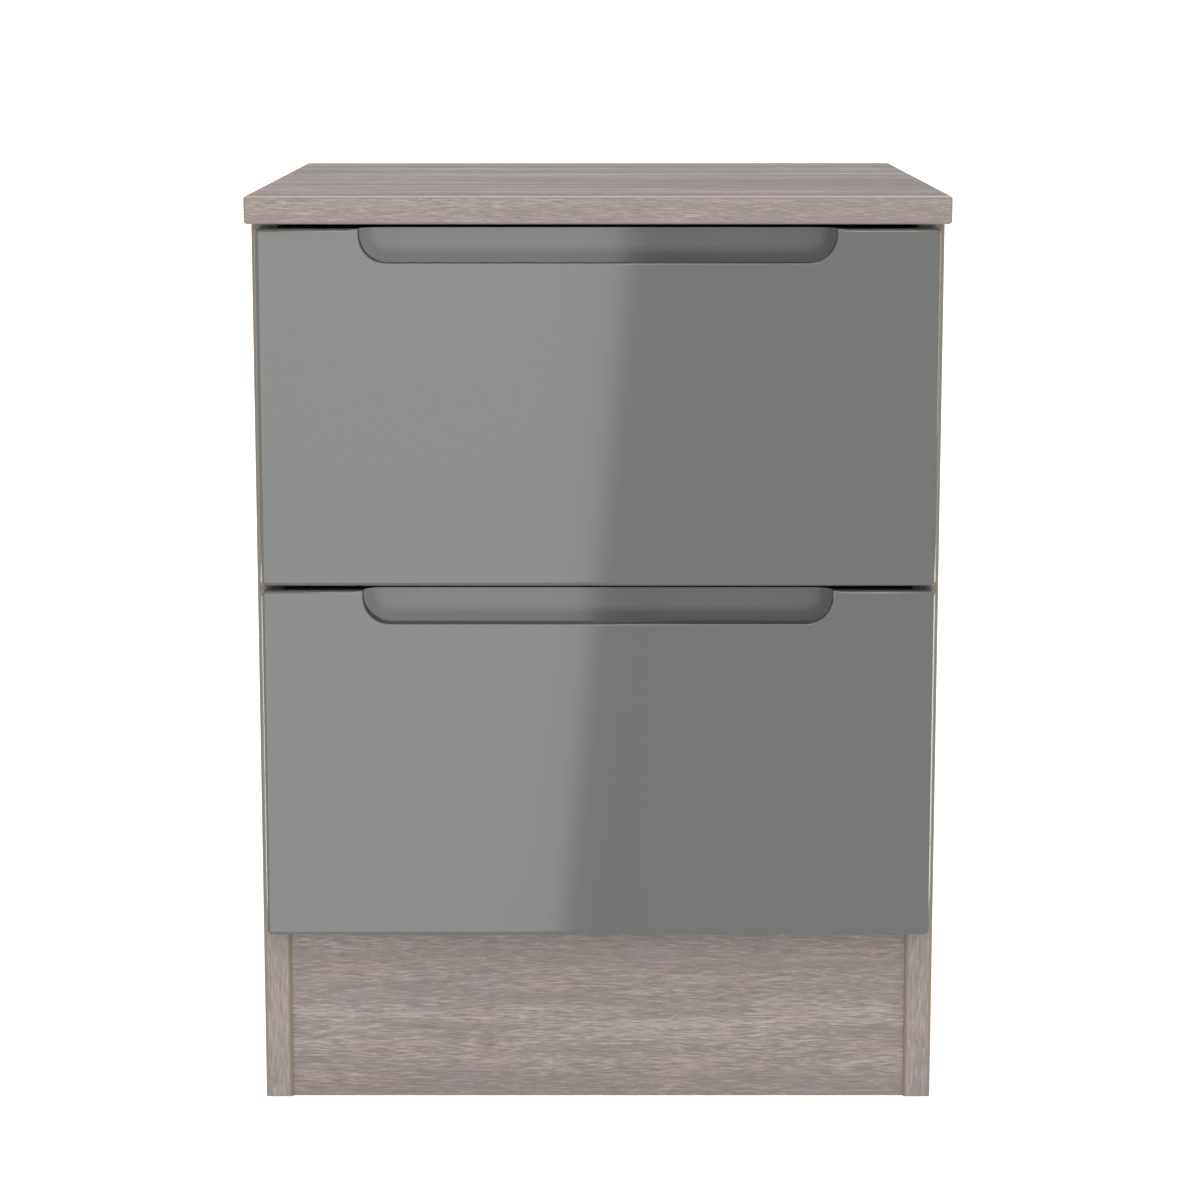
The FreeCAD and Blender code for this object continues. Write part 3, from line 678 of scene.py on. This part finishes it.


# ---------------------------------------------------------------------------------- drawer fronts
# 18 mm fibreboard, milled and then lacquered in high-gloss grey, held by cams and dowels. A finger
# scoop is routed into the upper edge: a short level floor, a round cove, then an upright back wall.
# The scoop's floor and cove are lacquered darker, a painted shade, and the cove's film faces forwards.
def walk_outline(corners, radii, steps):
    """A path of straight runs with an arc at each inner corner, in two dimensions.

    An arc starts where the run is one tangent length from the corner, and turns about a centre one
    radius to the side. Returns the points and the normals to the right of the walking direction.
    """
    corners = np.asarray(corners, float)
    runs = np.diff(corners, axis=0)
    directions = runs / np.linalg.norm(runs, axis=1)[:, None]
    points = [corners[:1]]
    normals = [np.array([[directions[0][1], -directions[0][0]]])]
    for corner, radius, before, after in zip(corners[1:-1], radii, directions[:-1], directions[1:]):
        turn = math.atan2(before[0] * after[1] - before[1] * after[0], before @ after)
        angles = np.linspace(0, turn, steps + 1)[:, None]
        left = np.array([-before[1], before[0]]) * math.copysign(1, turn)
        centre = corner - before * radius * math.tan(abs(turn) / 2) + left * radius
        swing = np.cos(np.abs(angles)) * -left + np.sin(np.abs(angles)) * before
        points.append(centre + radius * swing)
        normals.append(swing * math.copysign(1, turn))
    points.append(corners[-1:])
    normals.append(np.array([[directions[-1][1], -directions[-1][0]]]))
    return np.concatenate(points), np.concatenate(normals)


def scooped_front(name, low, high):
    """A drawer front whose face outline and scoop outline carry round edges.

    The outlines lie in X and Z. Each ring of the surface is an outline moved sideways by an offset
    and backwards by a depth: on the round edge both follow a quarter circle, on the scoop's cove
    another, and between them the ring only moves backwards. The mask is how much painted shade the
    lacquer gets: all of it on the floor, and fading by a smooth step as the cove turns to the wall. The
    film follows the surface up to the cove's first thin_steps rings and faces forwards above them.
    """
    outer_radius = 2.6 * mm
    lip_radius = 0.8 * mm
    outline_corner = 3.0 * mm
    scoop_half = 135.5 * mm
    scoop_height = 19.5 * mm
    scoop_depth = 12 * mm
    scoop_corner = 16 * mm
    cove_radius = 10 * mm
    # Over this much of the cove's turn before the wall, the painted shade fades out.
    cove_shade_lean = math.radians(35)
    taper = 6 * mm
    outline_steps, scoop_steps = 8, 24
    edge_steps, cove_steps, thin_steps = 8, 12, 2
    forwards, backwards, upwards = (0, -1, 0), (0, 1, 0), (0, 0, 1)
    face, rear = low[1], high[1]
    left, right, bottom, top = low[0], high[0], low[2], high[2]
    lip = top - scoop_height

    outer_corners = [(-scoop_half, top), (-scoop_half - taper, top), (left, top), (left, bottom),
                     (right, bottom), (right, top), (scoop_half + taper, top), (scoop_half, top)]
    outer_turns = [0, outline_corner, outline_corner, outline_corner, outline_corner, 0]
    outer, outer_normals = walk_outline(outer_corners, outer_turns, outline_steps)
    scoop_corners = [(scoop_half, top), (scoop_half, lip), (-scoop_half, lip), (-scoop_half, top)]
    scoop, scoop_normals = walk_outline(scoop_corners, [scoop_corner, scoop_corner], scoop_steps)
    mitre_right = np.array([-1.0, 1.0])
    mitre_left = np.array([1.0, 1.0])

    def ring(outline, directions, offset, depth):
        """The outline moved by offset along its directions and by depth to the back."""
        moved = outline + directions * np.reshape(offset, (-1, 1))
        depths = np.broadcast_to(depth, len(outline))
        return np.stack([moved[:, 0], face + depths, moved[:, 1]], axis=1)

    def lean(directions, angle):
        """Normals turned from facing forwards, at angle 0, to the outline's own, at a right angle."""
        ahead = np.full(len(directions), -math.cos(angle))
        sideways = directions * math.sin(angle)
        return np.stack([sideways[:, 0], ahead, sideways[:, 1]], axis=1)

    def round_edge(outline, directions, radius):
        """Rings of the quarter circle that turns the face into the outline's side."""
        return [ring(outline, directions, -radius * (1 - math.sin(angle)), radius * (1 - math.cos(angle)))
                for angle in np.linspace(0, math.pi / 2, edge_steps + 1)]

    # Towards the scoop the upper round edge narrows to the lip's, and the two meet in a mitre.
    beside_scoop = np.clip((np.abs(outer[:, 0]) - scoop_half) / taper, 0, 1)
    on_top_run = np.isclose(outer_normals[:, 1], 1)
    radius = np.where(on_top_run, lip_radius + (outer_radius - lip_radius) * beside_scoop, outer_radius)
    outer_moves = outer_normals.copy()
    outer_moves[0], outer_moves[-1] = mitre_left, mitre_right
    scoop_moves = scoop_normals.copy()
    scoop_moves[0], scoop_moves[-1] = mitre_right, mitre_left

    outer_rings = round_edge(outer, outer_moves, radius)
    lip_rings = round_edge(scoop, scoop_moves, lip_radius)
    angles = np.linspace(0, math.pi / 2, edge_steps + 1)
    outer_leans = [lean(outer_normals, angle) for angle in angles]
    lip_leans = [lean(scoop_normals, angle) for angle in angles]

    floor_depth = scoop_depth - cove_radius
    turns = np.linspace(0, math.pi / 2, cove_steps + 1)
    cove_rings = np.stack([ring(scoop, scoop_normals, cove_radius * (1 - math.cos(turn)),
                                floor_depth + cove_radius * math.sin(turn)) for turn in turns])
    cove_leans = np.stack([lean(scoop_normals, math.pi / 2 - turn) for turn in turns])
    # Painted shade for each cove ring: all of it beside the floor, fading to none at the wall.
    share = np.clip((math.pi / 2 - turns) / cove_shade_lean, 0, 1)
    cove_shade_share = share ** 2 * (3 - 2 * share)
    levelled = np.broadcast_to(forwards, cove_rings[thin_steps:].shape)

    # The side wall leaves out the outline's runs along the top, which belong to the flat top edge.
    off_top = np.flatnonzero(~on_top_run)
    side_run = slice(off_top[0] - 1, off_top[-1] + 2)
    wall = np.stack([outer_rings[-1][side_run], ring(outer, outer_normals, 0.0, rear - face)[side_run]])
    wall_lean = np.stack([lean(outer_normals, math.pi / 2)[side_run]] * 2)
    floor_rings = np.stack([lip_rings[-1], cove_rings[0]])
    floor_lean = np.stack([cove_leans[0]] * 2)
    top_edge = np.concatenate([outer_rings[-1][:side_run.start + 1], wall[1][:1], wall[1][-1:],
                               outer_rings[-1][side_run.stop - 1:], cove_rings[:, 0], cove_rings[::-1, -1]])
    # The floor and the cove carry the painted shade in their mask.
    patches = [(np.stack(outer_rings), np.stack(outer_leans), 0.0, None),
               (np.stack(lip_rings), np.stack(lip_leans), 0.0, None),
               (floor_rings, floor_lean, 1.0, None),
               (cove_rings[:thin_steps + 1], cove_leans[:thin_steps + 1], 1.0, None),
               (cove_rings[thin_steps:], cove_leans[thin_steps:], cove_shade_share[thin_steps:, None], levelled),
               (wall, wall_lean, 0.0, None)]
    polygons = [(np.concatenate([outer_rings[0], lip_rings[0]]), forwards), (cove_rings[-1], forwards),
                (top_edge, upwards), (wall[1], backwards)]
    return closed_mesh(name, patches, polygons)


gloss, tree, surface = empty_material("high-gloss grey lacquer")
place = plug(tree, "ShaderNodeTexCoord").outputs["Object"]
thick_lacquer = (0.1000, 0.1020, 0.0970, 1)
thin_lacquer = (0.1030, 0.1050, 0.1000, 1)
# A darker lacquer laid on the scoop's floor and cove: a painted shade in the recess.
cove_shade_lacquer = (0.054, 0.055, 0.053, 1)
thinness = noise(tree, place, scale=5.0, detail=2.0)
lacquer = blend(tree, thinness, thick_lacquer, thin_lacquer)
# The mask says how much of the painted cove shade each place gets.
cove_shade_share = plug(tree, "ShaderNodeAttribute", attribute_name="mask").outputs["Fac"]
lacquer = blend(tree, cove_shade_share, lacquer, cove_shade_lacquer)
feed(tree, surface.inputs["Base Color"], lacquer)
wear(tree, surface, place, roughness=0.6, spread=0.2)
surface.inputs["Specular IOR Level"].default_value = 0.0
surface.inputs["Coat Weight"].default_value = 1.0
surface.inputs["Coat Roughness"].default_value = 0.062
film = plug(tree, "ShaderNodeAttribute", attribute_name="film").outputs["Vector"]
film = plug(tree, "ShaderNodeVectorTransform", {"Vector": film}, vector_type="NORMAL",
            convert_from="OBJECT", convert_to="WORLD").outputs["Vector"]
orange_peel = noise(tree, place, scale=160.0, detail=1.0)
rippled = plug(tree, "ShaderNodeBump", {"Height": orange_peel, "Strength": 0.02, "Distance": 0.1 * mm,
                                        "Normal": film}).outputs["Normal"]
feed(tree, surface.inputs["Coat Normal"], rippled)
for drawer in ("lower", "upper"):
    low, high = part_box(f"{drawer}_front")
    front = scooped_front(f"{drawer}_gloss_front", low, high)
    front.data.materials.append(gloss)
    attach(front, f"{drawer}_drawer")
    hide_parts(f"{drawer}_front")


# --------------------------------------------------------------------------------------- bumpers
# Stick-on discs of soft clear plastic, moulded and slightly cloudy. They sit at the corners of each
# front's back, so it closes quietly.
clear_rubber, tree, surface = empty_material("clear soft plastic")
place = plug(tree, "ShaderNodeTexCoord").outputs["Object"]
clouding = noise(tree, place, scale=500.0, detail=2.0)
milky = blend(tree, clouding, shade(214, 216, 214), shade(232, 233, 230))
feed(tree, surface.inputs["Base Color"], milky)
wear(tree, surface, place, roughness=0.3, spread=0.1)
bump(tree, surface, clouding, strength=0.1, distance=0.05 * mm)
for drawer in ("lower", "upper"):
    dress(f"{drawer}_bumpers", clear_rubber)


# ---------------------------------------------------------------------------------------- update
# The view layer is brought up to date with the finished objects.
bpy.context.view_layer.update()
